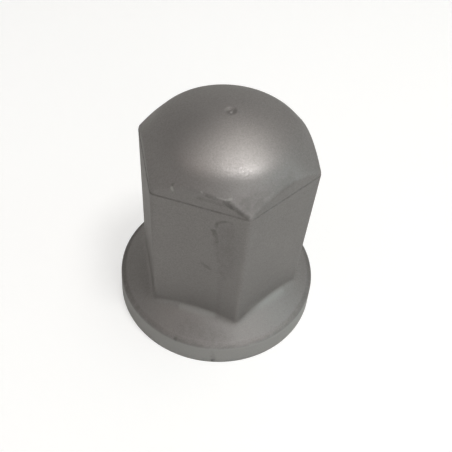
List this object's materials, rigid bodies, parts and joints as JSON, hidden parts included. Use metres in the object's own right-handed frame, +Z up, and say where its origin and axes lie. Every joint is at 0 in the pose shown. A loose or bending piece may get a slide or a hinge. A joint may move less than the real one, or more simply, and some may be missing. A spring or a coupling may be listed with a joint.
{
  "type": "wheel nut cover cap",
  "caption": "Moulded hexagon cap with a domed top and a flared round skirt, pushed over a wheel nut to cover and protect it.",
  "frame": {"origin": "centre of the seating face of the rim", "axes": "+Z up the axis of the hexagon, from the rim to the dome; +X towards a corner of the hexagon"},
  "size_m": [0.055, 0.055, 0.0601],
  "materials": {
    "moulded_plastic": "satin silver-grey plastic with metallic pigment and a fine moulded grain"
  },
  "bodies": {
    "root": {"nut_cap": "moulded_plastic"}
  },
  "joints": []
}
